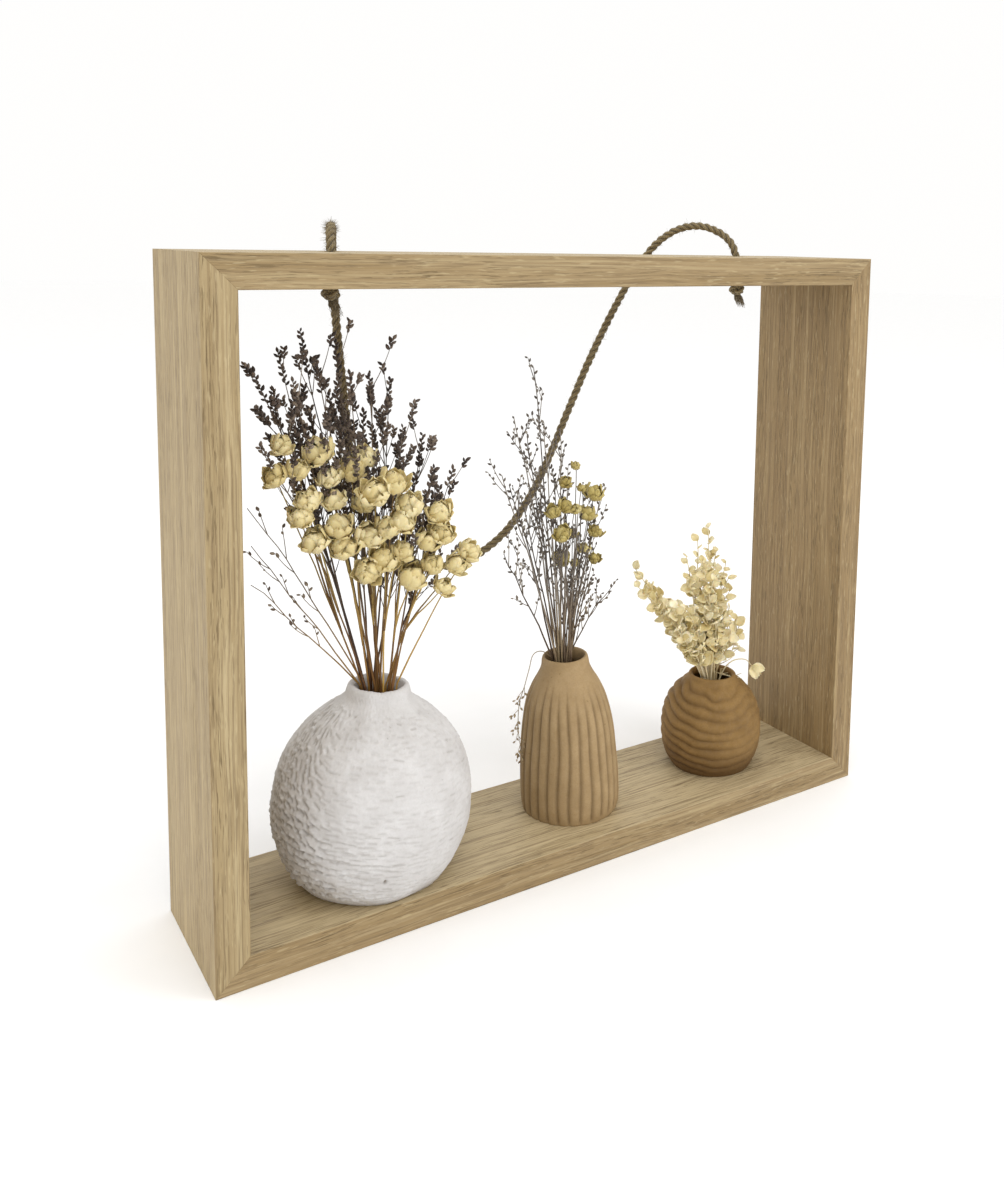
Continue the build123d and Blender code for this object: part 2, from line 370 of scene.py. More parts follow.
def oak(name, upright, seed, shades):
    """Oiled oak, its grain along Z if upright and along X otherwise: long straight streaks,
    rows of open pores and pale flecks, and painted lighter where it faces up, as painted light
    from above. Shades are its dark, middle and pale tones."""
    f = Finish(name, 0.6)

    def grain(along, across):
        return (across, across, along) if upright else (along, across, across)

    shift = (0.061 * seed, 0.047 * seed, 0.053 * seed)
    waver = f.noise(f.place(grain(9, 22), shift), detail=2)
    moved = f.add("VectorMath", operation="ADD")
    f.feed(moved.inputs[0], f.place((1, 1, 1), shift))
    f.feed(moved.inputs[1], f.stretch(waver, grain(0, 0.006)))
    wood = moved.outputs[0]
    bands = f.noise(f.stretch(wood, grain(4, 150)), detail=2)
    streaks = f.noise(f.stretch(wood, grain(7, 620)), detail=3, roughness=0.6)
    lines = f.noise(f.stretch(wood, grain(22, 1500)), detail=3, roughness=0.6)
    fibres = f.noise(f.stretch(wood, grain(60, 3600)), detail=2)
    pores = f.remap(f.noise(f.stretch(wood, grain(110, 2100)), detail=2), 0.57, 0.66)
    pores = f.math("MULTIPLY", pores, f.remap(bands, 0.35, 0.6, 0.25, 1.0))
    flecks = f.remap(f.noise(f.stretch(wood, grain(150, 1300)), detail=2), 0.60, 0.70)
    dark, middle, pale = shades
    colour = f.ramp(streaks, (0.30, dark), (0.50, middle), (0.68, pale))
    colour = f.mix(f.remap(bands, 0.4, 0.65, 0.0, 0.45), colour, tone(dark))
    normal = f.add("SeparateXYZ")
    f.feed(normal.inputs[0], f.add("NewGeometry").outputs["Normal"])
    # Painted light: faces that point up are mixed towards a pale tone, as if lit from above.
    colour = f.mix(f.remap(normal.outputs["Z"], 0.5, 0.9, 0.0, 0.42), colour, tone("E0D0AA"))
    colour = f.mix(f.remap(lines, 0.47, 0.66, 0.0, 0.65), colour, tone("756040"))
    colour = f.mix(f.remap(fibres, 0.4, 0.7, 0.0, 0.25), colour, tone("857050"))
    colour = f.mix(f.math("MULTIPLY", flecks, 0.35), colour, tone("C4B28A"))
    colour = f.mix(f.math("MULTIPLY", pores, 0.6), colour, tone("57431F"))
    depth = f.math("SUBTRACT", f.math("MULTIPLY", fibres, 0.4), pores)
    f.bump(depth, 0.5, 0.0002)
    return f.finish(colour, f.remap(streaks, 0.3, 0.7, 0.52, 0.7))


# The pale and the dark palettes are one oak tone made lighter and darker: painted light for the
# left board and painted shade for the right board. The dowels take the pale one.
PAINTED_LIT_OAK = ("978159", "AB966E", "BBA881")
MIDDLE_OAK = ("8D754B", "A08962", "B29E77")
PAINTED_SHADED_OAK = ("866C43", "987F57", "AB946B")


def jute(name):
    """Coarse plant fibre, twisted: long light and dark hairs that follow each strand."""
    f = Finish(name, 0.85)
    fibre = f.attribute("fibre", "Vector")
    hairs = f.noise(f.stretch(fibre, (5.5, 5.5, 0.9)), detail=4, roughness=0.65)
    knots = f.noise(f.place(), 190, detail=3)
    colour = f.ramp(hairs, (0.26, "4C3E24"), (0.46, "827048"), (0.68, "AE9C72"))
    colour = f.mix(f.remap(knots, 0.4, 0.7, 0.0, 0.4), colour, tone("6E5C38"))
    # Painted shade: the tint darkens the inner side of each strand, where the strands press
    # together. Loose hairs get a random darkness.
    shade = f.math("SUBTRACT", 1.0, f.attribute("tint", "Fac"))
    colour = f.mix(f.math("MULTIPLY", shade, 0.6), colour, tone("3C2C14"))
    f.bump(hairs, 0.9, 0.0005)
    f.shader.inputs["Sheen Weight"].default_value = 0.25
    return f.finish(colour)


def stoneware(name, light, dark, grit_and_shade_tone, speck, grain):
    """Matt fired clay: mottled and sandy, and darker where the tint says: partly dirt in cut marks
    and partly painted shade in grooves, hollows and on a vase's shaded side.
    """
    f = Finish(name, 0.78)
    mottle = f.noise(f.place(), 95, detail=5, roughness=0.6)
    sand = f.noise(f.place(), 1500, detail=2)
    grit = f.noise(f.place(), 480, detail=3, roughness=0.7)
    colour = f.ramp(mottle, (0.30, dark), (0.68, light))
    colour = f.mix(f.remap(sand, 0.35, 0.75, 0.0, 0.22), colour, tone(speck))
    colour = f.mix(f.remap(grit, 0.66, 0.78, 0.0, 0.4), colour, tone(grit_and_shade_tone))
    # Painted shade: the tint darkens grooves, cut marks, hollows and shaded sides. In the white
    # vase's marks it is partly dirt too.
    colour = f.mix(f.attribute("tint", "Fac"), colour, tone(grit_and_shade_tone))
    height = f.math("ADD", f.math("MULTIPLY", sand, 0.5), grit)
    f.bump(height, 0.5, grain)
    return f.finish(colour, f.remap(grit, 0.3, 0.7, 0.68, 0.88))


def stalk(name, low_z, high_z, low_stops, high_stops):
    """Dried stems: fluted and streaky, one colour near the mouth of the vase that fades
    into another higher up."""
    f = Finish(name, 0.7)
    separate = f.add("SeparateXYZ")
    f.feed(separate.inputs[0], f.place())
    height = f.remap(separate.outputs["Z"], low_z, high_z)
    tint = f.attribute("tint", "Fac")
    streaks = f.noise(f.place((2600, 2600, 160)), detail=3)
    shade = f.math("ADD", f.math("MULTIPLY", tint, 0.6), f.math("MULTIPLY", streaks, 0.4))
    low = f.ramp(shade, *low_stops)
    high = f.ramp(shade, *high_stops)
    f.bump(streaks, 0.5, 0.0002)
    return f.finish(f.mix(height, low, high))


def dried(name, *stops, roughness=0.8, soft=0.0, wrinkle=900):
    """Dried petals, buds and leaves: a shade for each tint, with fine wrinkles."""
    f = Finish(name, roughness)
    wrinkles = f.noise(f.place(), wrinkle, detail=4, roughness=0.6)
    tint = f.attribute("tint", "Fac")
    shade = f.math("ADD", f.math("MULTIPLY", tint, 0.72), f.math("MULTIPLY", wrinkles, 0.42))
    f.bump(wrinkles, 0.6, 0.0003)
    f.shader.inputs["Sheen Weight"].default_value = 0.15
    if soft:
        f.shader.inputs["Subsurface Weight"].default_value = soft
        f.shader.inputs["Subsurface Radius"].default_value = (0.002, 0.0015, 0.0008)
    return f.finish(f.ramp(f.math("SUBTRACT", shade, 0.07), *stops))


# --- Rope -----------------------------------------------------------------------------------
ROPE_D = 0.004
ROPE_X = 96.0
ROPE_PITCH = 0.0105
ROPE_STEP = 0.0006
STRAND_SHARE = 0.45
LAY_SHARE = 0.45
STRAND_SIDES = 10
STRAND_TWIST = 900.0
FUZZ_HAIRS = 900
WORN_HAIRS = 260
KNOT_SIZE = 0.0008
KNOT_RISE = 1.5
KNOT_ROPE_D = 0.0033
KNOT_MIDDLE = 0.2351
KNOT_POINTS = 60
TAIL_FIBRES = 90
TAIL_TOP, TAIL_END = 233.2, 226.5

# The rope's route from the left knot, up through the top board, over its back edge, down
# behind the frame in one slack loop and up again to the right knot.
ROPE_ROUTE = [
    (-96.0, 0.0, 238.0),
    (-96.0, 0.0, 249.5),
    (-93.5, 7.0, 258.0),
    (-88.5, 20.0, 260.0),
    (-83.0, 33.5, 256.5),
    (-80.5, 40.5, 246.0),
    (-79.5, 41.5, 229.0),
    (-77.0, 40.5, 201.0),
    (-74.5, 40.0, 171.0),
    (-69.0, 39.5, 144.0),
    (-54.5, 39.0, 121.5),
    (-31.0, 39.0, 112.0),
    (-4.5, 39.5, 121.0),
    (15.0, 40.0, 144.5),
    (29.0, 40.5, 173.5),
    (42.0, 41.0, 200.0),
    (56.0, 41.5, 224.0),
    (67.5, 41.0, 242.0),
    (76.5, 34.0, 258.0),
    (85.0, 20.0, 265.0),
    (93.5, 7.0, 260.5),
    (96.0, 0.0, 251.0),
    (96.0, 0.0, 238.0),
]


def cord_line(route):
    """The smooth line that a cord takes: a NURBS spline whose control points are its route."""
    curve = bpy.data.curves.new("cord_line", "CURVE")
    curve.dimensions = "3D"
    curve.resolution_u = 24
    spline = curve.splines.new("NURBS")
    spline.points.add(len(route) - 1)
    for point, place in zip(spline.points, route):
        point.co = (*mm(*place), 1)
    spline.order_u = 3
    spline.use_endpoint_u = True
    carrier = bpy.data.objects.new("cord_line", curve)
    mesh = bpy.data.meshes.new_from_object(carrier)
    line = [v.co.copy() for v in mesh.vertices]
    bpy.data.objects.remove(carrier)
    bpy.data.meshes.remove(mesh)
    return line


def lay_strands(shape, line, diameter, rng):
    """Three plump strands twisted round each other along a line."""
    places = evenly(line, ROPE_STEP)
    frames = frames_along(places)
    for strand in range(3):
        rings, tints, fibres = [], [], []
        bulge = rng.uniform(0, 50)
        for i, (place, (_, side, other)) in enumerate(zip(places, frames)):
            along = i * ROPE_STEP
            turn = 2 * math.pi * (along / ROPE_PITCH + strand / 3)
            out = side * math.cos(turn) + other * math.sin(turn)
            round_ = other * math.cos(turn) - side * math.sin(turn)
            lump = 1 + 0.16 * noise.noise(Vector((along * 300, strand * 7.0, bulge)))
            radius = diameter / 2 * STRAND_SHARE * lump
            centre = place + out * diameter / 2 * LAY_SHARE
            ring, shades = [], []
            for j in range(STRAND_SIDES):
                angle = 2 * math.pi * j / STRAND_SIDES
                reach = out * math.cos(angle) + round_ * math.sin(angle)
                ring.append(centre + reach * radius)
                # Each strand is painted darker on its inner side, as painted shade where the
                # strands meet.
                shades.append(clamp(0.55 + 0.5 * math.cos(angle)))
                twist = angle + along * STRAND_TWIST
                fibres.append((math.cos(twist), math.sin(twist), along * 220 + strand * 31))
            rings.append(ring)
            tints.append(shades)
        shape.rings(rings, tints, fibres)


def add_fibre(shape, line, radius, tint):
    """One loose hair, which has no yarn to follow."""
    before = len(shape.points)
    shape.tube(line, [radius, radius * 0.8, radius * 0.3], 3, tint)
    count = len(shape.points) - before
    if shape.fibres:
        shape.fibres.extend([(radius * 9000, tint * 9, before * 0.37)] * count)


def make_fuzz(line, rng):
    """Short hairs that stand off the rope, most of them where it rubs on the left."""
    fuzz = Shape()
    places = evenly(line, ROPE_STEP)
    frames = frames_along(places)
    for hair in range(FUZZ_HAIRS + WORN_HAIRS):
        i = rng.randrange(2, len(places) - 2) if hair < FUZZ_HAIRS else rng.randrange(20, 62)
        tangent, side, other = frames[i]
        turn = rng.uniform(0, 2 * math.pi)
        out = side * math.cos(turn) + other * math.sin(turn)
        start = places[i] + out * ROPE_D * 0.36
        lean = (out * rng.uniform(0.25, 1.0) + tangent * rng.uniform(-1, 1)).normalized()
        length = rng.uniform(0.0009, 0.0026)
        middle = start + lean * length * 0.5
        end = start + (lean + out * rng.uniform(-0.3, 0.5)).normalized() * length
        add_fibre(fuzz, [start, middle, end], rng.uniform(0.00004, 0.00007), rng.random())
    return fuzz


def make_knot_shape(x, turn, rng):
    """A tight overhand knot: the rope laid along a trefoil."""
    line = []
    for i in range(KNOT_POINTS + 1):
        t = 2 * math.pi * i / KNOT_POINTS + turn
        flat = Vector((math.sin(t) + 2 * math.sin(2 * t), math.cos(t) - 2 * math.cos(2 * t), 0))
        rise = Vector((0, 0, -KNOT_RISE * math.sin(3 * t)))
        line.append(Vector((x * 0.001, 0, KNOT_MIDDLE)) + (flat + rise) * KNOT_SIZE)
    knot = Shape()
    lay_strands(knot, line, KNOT_ROPE_D, rng)
    return knot


def make_tail_shape(x, lean, rng):
    """The frayed end below a knot: fibres that splay and curl as they fall."""
    tail = Shape()
    for _ in range(TAIL_FIBRES):
        turn = rng.uniform(0, 2 * math.pi)
        root = mm(x + 1.2 * math.cos(turn), 1.2 * math.sin(turn), TAIL_TOP)
        spread = rng.uniform(0.3, 2.2)
        drop = rng.uniform(0.6, 1.0)
        low_z = TAIL_TOP + (TAIL_END - TAIL_TOP) * drop
        tip = mm(
            x + lean * drop + spread * math.cos(turn + 0.4), spread * math.sin(turn + 0.4), low_z
        )
        middle = root.lerp(tip, 0.5) + mm(*(rng.uniform(-0.5, 0.5) for _ in range(3)))
        add_fibre(tail, [root, middle, tip], rng.uniform(0.0001, 0.00022), rng.random() * 0.6)
    return tail


def make_rope():
    """The rope, its two knots and their frayed tails."""
    rng = random.Random(11)
    hemp = jute("jute_rope")
    line = cord_line(ROPE_ROUTE)
    strands = Shape()
    lay_strands(strands, line, ROPE_D, rng)
    rope = add_piece("rope_strands", strands, hemp, "frame", "jute", "hanging_rope")
    fuzz = add_piece("rope_fuzz", make_fuzz(line, rng), hemp, "frame", "jute")
    for side, x, turn, lean in (("left", -ROPE_X, 0.5, 2.6), ("right", ROPE_X, 1.4, 3.4)):
        knot = make_knot_shape(x, turn, rng)
        add_piece(f"rope_knot_{side}", knot, hemp, "frame", "jute", f"knot_{side}")
        tail = make_tail_shape(x, lean, rng)
        name = f"frayed_tail_{side}"
        add_piece(name, tail, hemp, "frame", "jute", f"rope_tail_{side}")


# --- Boards ---------------------------------------------------------------------------------
EDGE = 0.0004
MITRE_SHARE = 0.25
ROPE_HOLE_R = 0.0035


def board_outline(side, low, high):
    """The corners of a mitred board's front face. The two mitres join the second corner to
    the third and the fourth to the first."""
    if side == "bottom":
        t = high.z - low.z
        return [(low.x, low.z), (high.x, low.z), (high.x - t, high.z), (low.x + t, high.z)]
    if side == "top":
        t = high.z - low.z
        return [(low.x, high.z), (high.x, high.z), (high.x - t, low.z), (low.x + t, low.z)]
    t = high.x - low.x
    if side == "left":
        return [(low.x, low.z), (low.x, high.z), (high.x, high.z - t), (high.x, low.z + t)]
    return [(high.x, low.z), (high.x, high.z), (low.x, high.z - t), (low.x, low.z + t)]


def make_board(side, material):
    """A board with eased edges, finer at its mitres. The rope's holes go through the top
    one."""
    node = f"{side}_board"
    low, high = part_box(node)
    model = bmesh.new()
    outline = board_outline(side, low, high)
    front = [model.verts.new((x, low.y, z)) for x, z in outline]
    back = [model.verts.new((x, high.y, z)) for x, z in outline]
    model.faces.new(front)
    model.faces.new(back[::-1])
    weight = model.edges.layers.float.new("bevel_weight_edge")
    for i in range(4):
        k = (i + 1) % 4
        model.faces.new((front[i], front[k], back[k], back[i]))
    for edge in model.edges:
        ends = [(front + back).index(v) for v in edge.verts]
        long_edge = {end % 4 for end in ends} in ({0, 1}, {2, 3})
        edge[weight] = 1.0 if long_edge else MITRE_SHARE
    bmesh.ops.recalc_face_normals(model, faces=model.faces)
    mesh = bpy.data.meshes.new(f"oak_{node}")
    model.to_mesh(mesh)
    model.free()
    obj = add_object(f"oak_{node}", mesh, material)
    bevel = obj.modifiers.new("eased_edges", "BEVEL")
    bevel.width = EDGE
    bevel.segments = 3
    bevel.limit_method = "WEIGHT"
    settle(obj)
    if side == "top":
        for x in (-ROPE_X, ROPE_X):
            drill(obj, mm(x, 0, 244), ROPE_HOLE_R)
    attach(obj, "frame", "oak", node)


def drill(obj, centre, radius):
    """Cuts a round hole up through an object."""
    model = bmesh.new()
    bmesh.ops.create_cone(
        model, segments=48, radius1=radius, radius2=radius, depth=0.03, cap_ends=True
    )
    bmesh.ops.translate(model, verts=model.verts, vec=centre)
    mesh = bpy.data.meshes.new("drill")
    model.to_mesh(mesh)
    model.free()
    cutter = bpy.data.objects.new("drill", mesh)
    bpy.context.scene.collection.objects.link(cutter)
    cut = obj.modifiers.new("hole", "BOOLEAN")
    cut.object = cutter
    settle(obj)
    bpy.data.objects.remove(cutter)
    bpy.data.meshes.remove(mesh)


def make_frame():
    make_board("top", oak("oak_top", False, 1, MIDDLE_OAK))
    make_board("bottom", oak("oak_bottom", False, 4, MIDDLE_OAK))
    # The left board's oak is painted lighter and the right board's darker, as painted light and
    # painted shade.
    make_board("left", oak("oak_left", True, 2, PAINTED_LIT_OAK))
    make_board("right", oak("oak_right", True, 7, PAINTED_SHADED_OAK))
    dowel_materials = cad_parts["corner_dowels"].data.materials
    dowel_materials.clear()
    dowel_materials.append(oak("beech_dowel", False, 9, PAINTED_LIT_OAK))


# --- Vases ----------------------------------------------------------------------------------
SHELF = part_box("bottom_board")[1].z


def make_vase(name, node, body, slot, material, x, lean, outline, step, columns, relief):
    """A thrown vase. Its outline runs out from under the foot, up the wall, over the rim and
    down inside, as (radius, height) in millimetres; relief(turn, height) gives how far the
    outside stands proud, in millimetres, and its tint."""
    outside, inside = outline
    axis = Vector((lean, 0, 1)).normalized()
    across = Vector((1, 0, -lean)).normalized()
    foot = mm(x, 0, 0) + Vector((0, 0, SHELF))
    fine = evenly(smooth([Vector((r, h, 0)) for r, h in outside]), step)
    coarse = evenly(smooth([Vector((r, h, 0)) for r, h in inside]), 1.5)
    rows = fine + coarse[1:]
    shape = Shape()
    rings, tints = [], []
    for i, row in enumerate(rows):
        along = rows[min(i + 1, len(rows) - 1)] - rows[max(i - 1, 0)]
        normal = Vector((along.y, -along.x, 0)).normalized()
        ring, shades = [], []
        for j in range(columns):
            turn = 2 * math.pi * j / columns
            proud, tint = relief(turn, row.y) if i < len(fine) else (0.0, 0.0)
            radius = (row.x + normal.x * proud) * 0.001
            height = (row.y + normal.y * proud) * 0.001
            out = across * math.cos(turn) + Vector((0, 1, 0)) * math.sin(turn)
            point = foot + out * radius + axis * height
            point.z = max(point.z, SHELF)
            ring.append(point)
            shades.append(tint)
        rings.append(ring)
        tints.append(shades)
    shape.rings(rings, tints)
    return add_piece(name, shape, material, body, slot, node)


WHITE_X, WHITE_LEAN = -83.0, 0.062
WHITE_HEIGHT = 73.5
WHITE_OUTSIDE = [
    (0.4, -2.4), (20.0, -2.4), (26.5, -1.2), (30.8, 4.0), (34.6, 11.0), (37.3, 20.0), (37.9, 28.0),
    (36.9, 38.0), (33.9, 47.0), (28.8, 55.2), (22.2, 61.6), (16.4, 65.6), (13.0, 68.6),
    (12.2, 70.8), (11.6, 72.6), (10.5, 73.4), (9.3, 72.8), (8.7, 70.8),
]
WHITE_INSIDE = [
    (8.7, 70.8), (9.3, 67.2), (19.0, 59.6), (29.6, 49.0), (34.2, 34.0), (33.0, 18.0), (24.0, 5.4),
    (0.4, 4.2),
]
WHITE_RADIUS = 37.0
FLANK_TURN = math.radians(192)
PIT_TURN, PIT_HEIGHT = math.radians(256), 12.0
DASH_CELL = 6.0
Dash = namedtuple("Dash", "around height cosine sine half_length half_width depth tint")


def scored_dashes():
    """Short tool marks all over the white vase: deep on its left flank, where they turn
    steeply down to the right near the top, and faint in front. They are kept by cell."""
    rng = random.Random(5)
    cells = {}

    def keep(dash):
        cell = (int(dash.around // DASH_CELL), int(dash.height // DASH_CELL))
        cells.setdefault(cell, []).append(dash)

    for row in range(37):
        height = 2.0 + 1.75 * row
        around = rng.uniform(0, 4)
        while around < 2 * math.pi * WHITE_RADIUS:
            turn = around / WHITE_RADIUS
            away = abs(turn - FLANK_TURN - 0.008 * (30 - height))
            flank = 1 - ease(away, 0.25, 0.62)
            low = (1 - ease(height, 20, 44)) * (1 - ease(away, 0.6, 1.4))
            slant = math.radians(3 + 52 * ease(height, 12, 46) * flank + rng.uniform(-8, 8))
            length = rng.uniform(2.4, 6.0) * (1 - 0.3 * flank)
            depth = (0.26 + 0.12 * low + 0.40 * flank) * rng.uniform(0.4, 1.3)
            tint = (0.13 + 0.08 * low) * rng.uniform(0.2, 1.3)
            # The flank's dashes are painted darker still: partly dirt in the cuts, partly painted
            # shade on that side.
            tint += 0.38 * flank * rng.uniform(0.6, 1.2)
            width = rng.uniform(0.28, 0.5) + 0.2 * flank
            if flank < 0.2 and rng.random() < 0.05:
                depth, tint, width = 0.32, 0.34, 0.28
            place = height + rng.uniform(-0.8, 0.8)
            if flank < 0.3 or row % 2:
                across, along = math.cos(slant), math.sin(slant)
                keep(Dash(around, place, across, along, length / 2, width, depth, tint))
            if rng.random() < 0.6:
                lump = around + rng.uniform(-2, 2)
                rise = -0.26 * rng.uniform(0.4, 1.2) * (0.6 + low + flank)
                keep(Dash(lump, place + 1.1, 1.0, 0.1, rng.uniform(0.6, 2.0), 0.4, rise, 0.0))
            around += length * rng.uniform(0.7, 1.3) * (1.4 - 0.55 * max(flank, low))
    return cells


WHITE_DASHES = scored_dashes()


def white_relief(turn, height):
    """How far the white vase stands proud here and how dark it is, from the dashes nearby."""
    around = turn * WHITE_RADIUS
    cell = (int(around // DASH_CELL), int(height // DASH_CELL))
    cut = tint = 0.0
    for i in (cell[0] - 1, cell[0], cell[0] + 1):
        for k in (cell[1] - 1, cell[1], cell[1] + 1):
            for dash in WHITE_DASHES.get((i, k), ()):
                x, y = around - dash.around, height - dash.height
                across = (x * dash.sine + y * dash.cosine) / dash.half_width
                if abs(across) > 2.2:
                    continue
                along = abs(x * dash.cosine - y * dash.sine)
                end = dash.half_length
                share = math.exp(-across * across) * (1 - ease(along, end - 0.7, end + 0.3))
                cut += dash.depth * share
                tint = max(tint, dash.tint * share)
    soft = noise.noise(Vector((math.cos(turn) * 2.2, math.sin(turn) * 2.2, height / 16)))
    grain = noise.noise(Vector((around / 2.2, height / 0.9, 6.0)))
    pit = ((turn - PIT_TURN) * 36 / 0.5) ** 2 + ((height - PIT_HEIGHT) / 0.9) ** 2
    depth = math.exp(-pit)
    # The tint darkens the dashes and the pit: partly dirt in them, partly painted shade in their
    # hollows.
    return 0.5 * soft + 0.14 * grain - cut - 0.9 * depth, clamp(tint + depth)


FLUTED_X, FLUTED_LEAN = 9.6, -0.056
FLUTED_HEIGHT = 68.0
FLUTES = 27
SHADED_SIDE_TURN = math.radians(150)
FLUTED_OUTSIDE = [
    (0.4, -2.0), (17.2, -2.0), (19.8, -1.0), (21.0, 2.5), (21.3, 10.0), (21.1, 20.0), (20.4, 30.0),
    (19.2, 40.0), (17.4, 48.5), (14.6, 55.4), (11.8, 60.2), (10.4, 63.4), (10.0, 66.2), (9.5, 67.7),
    (8.8, 67.9), (8.2, 66.8),
]
FLUTED_INSIDE = [
    (8.2, 66.8), (8.2, 62.0), (11.5, 56.0), (15.6, 46.0), (17.3, 24.0), (16.4, 8.0), (10.0, 3.6),
    (0.4, 3.2),
]


def fluted_relief(turn, height):
    """Rounded flutes, a little wavy, that fade out under the shoulder. The grooves and the left
    side are painted darker, as painted shade."""
    wobble = 0.22 * noise.noise(Vector((math.cos(turn) * 1.6, math.sin(turn) * 1.6, height / 22)))
    phase = FLUTES / 2 * (turn + 0.0012 * (40 - height) + wobble * 0.16)
    groove = (1 - abs(math.sin(phase))) ** 1.7
    fade = 1 - ease(height + 9 * noise.noise(Vector((turn * 2.1, 0.0, 4.0))), 44.0, 60.0)
    depth = groove * fade * ease(height, -1.0, 3.0)
    soft = noise.noise(Vector((math.cos(turn) * 1.5, math.sin(turn) * 1.5, height / 14 + 9)))
    # Painted shade: the left side is painted darker, and the grooves take half their depth as tint.
    painted_side_shade = 0.32 * (0.5 + 0.5 * math.cos(turn - SHADED_SIDE_TURN)) ** 3
    return -1.0 * depth + 0.25 * soft, clamp(0.5 * depth + painted_side_shade)


RIBBED_X = 88.0
RIBBED_HEIGHT = 43.0
RIB_SPACING = 4.4
RIBS_TURN = math.radians(182)
RIBBED_OUTSIDE = [
    (0.4, -1.8), (15.0, -1.8), (18.2, -0.4), (20.6, 4.0), (22.6, 10.0), (23.3, 17.0), (22.7, 24.0),
    (20.6, 30.6), (17.0, 36.0), (13.2, 39.3), (11.5, 41.2), (10.9, 42.6), (10.0, 43.0), (9.2, 42.2),
]
RIBBED_INSIDE = [
    (9.2, 42.2), (9.4, 39.8), (15.0, 34.2), (19.4, 24.0), (19.6, 14.0), (15.0, 4.6), (0.4, 3.4),
]


def ribbed_relief(turn, height):
    """Rounded ribs that wander up and down, strong on the left and nearly gone in front."""
    swing = noise.noise(Vector((math.cos(turn) * 1.3, math.sin(turn) * 1.3, 2.0)))
    drift = noise.noise(Vector((math.cos(turn) * 2.6, math.sin(turn) * 2.6, height / 9)))
    near = 0.5 + 0.5 * math.cos(turn - RIBS_TURN)
    slope = 5.0 * near * math.sin(turn - RIBS_TURN)
    phase = math.pi * (height + slope + 2.4 * swing + 1.4 * drift) / RIB_SPACING
    ridge = abs(math.sin(phase)) ** 0.8
    strength = min(1.0, 0.2 + 0.8 * near**3 + 0.25 * ease(height, 20, 32))
    fade = ease(height, 0.0, 5.0) * (1 - ease(height, 38.5, 41.5))
    low = 1 - ease(height, 0.0, 18.0)
    proud = 1.35 * strength * fade * (ridge - 0.6)
    # Painted shade: the tint darkens the hollows between the ribs and the lower part towards the
    # foot.
    return proud, clamp(0.4 * fade * strength * (1 - ridge) + 0.5 * low)


def make_vases():
    make_vase(
        "scored_white_vase", "white_vase", "vase_white", "white_stoneware",
        stoneware("white_stoneware", "D6D4D3", "C5C2C0", "7E7468", "BAB6B2", 0.00022),
        WHITE_X, WHITE_LEAN, (WHITE_OUTSIDE, WHITE_INSIDE), 0.36, 540, white_relief,
    )
    make_vase(
        "fluted_tan_vase", "fluted_vase", "vase_fluted", "tan_stoneware",
        stoneware("tan_stoneware", "AC926A", "987E57", "54401F", "846A46", 0.00012),
        FLUTED_X, FLUTED_LEAN, (FLUTED_OUTSIDE, FLUTED_INSIDE), 0.55, 420, fluted_relief,
    )
    make_vase(
        "ribbed_brown_vase", "ribbed_vase", "vase_ribbed", "brown_stoneware",
        stoneware("brown_stoneware", "90703E", "7A5C2E", "422809", "674C25", 0.00012),
        RIBBED_X, 0.0, (RIBBED_OUTSIDE, RIBBED_INSIDE), 0.4, 400, ribbed_relief,
    )


# --- Dried flowers --------------------------------------------------------------------------
GOLDEN_TURN = math.radians(137.5)
Mouth = namedtuple("Mouth", "centre radius floor reach")


def vase_mouth(x, lean, height, radius, reach):
    """Where a bunch leaves its vase: the middle of the mouth, the radius that the stems may
    fill, the floor they stand on, and how far out a tip is whose stem lies on the rim."""
    centre = mm(x + lean * height, 0, height) + Vector((0, 0, SHELF))
    return Mouth(centre, radius * 0.001, SHELF + 0.0052, reach * 0.001)


WANDER_LAYERS = (0.37, 17.31, 41.93)


def wander(place, seed):
    """The crook of a stem at a place along it, from noise that depends on nothing else."""
    return Vector([noise.noise(Vector((place, seed, layer))) for layer in WANDER_LAYERS])


STEM_SWAY = 0.02


def stem_line(mouth, tip, rng, bow=0.05):
    """A stem from the floor of its vase, past the rim on the side it leans to, and out to
    its tip in a slight bow."""
    lean = Vector(((tip.x - mouth.centre.x) / mouth.reach, (tip.y - mouth.centre.y) / 0.022, 0))
    lean += Vector((rng.uniform(-0.3, 0.3), rng.uniform(-0.3, 0.3), 0))
    if lean.length > 1:
        lean.normalize()
    neck = mouth.centre + lean * mouth.radius
    scatter = Vector((rng.uniform(-0.45, 0.45), rng.uniform(-0.45, 0.45), 0))
    foot = mouth.centre + (scatter - lean * 0.35) * mouth.radius
    foot.z = mouth.floor
    line = [foot, foot.lerp(neck, 0.5), neck]
    run = tip - neck
    side = Vector((0, 0, 1)).cross(run).normalized()
    outward = Vector((run.x, run.y, 0)) * -1
    sway = rng.uniform(-1, 1)
    seed = rng.uniform(0, 90)
    steps = max(4, round(run.length / 0.006))
    for i in range(1, steps + 1):
        t = i / steps
        arch = math.sin(math.pi * t)
        crook = wander(t * 5, seed) * 0.0016 * t
        bowed = neck + run * t + outward * bow * arch
        line.append(bowed + side * run.length * STEM_SWAY * sway * arch + crook)
    return line


def branch(stem, share, tip, rng):
    """A fork that leaves a stem at a share of its line and bends away to its own tip."""
    i = round(share * (len(stem) - 1))
    start = stem[i].copy()
    lead = (stem[i + 1] - stem[i - 1]).normalized() * (tip - start).length * 0.4
    steps = max(5, round((tip - start).length / 0.004))
    seed = rng.uniform(0, 90)
    line = []
    for k in range(steps + 1):
        t = k / steps
        crook = wander(t * 4, seed) * 0.0012 * t * (1 - t)
        line.append(start.lerp(tip, t * t) * t + (start + lead * t).lerp(tip, t) * (1 - t) + crook)
    return line


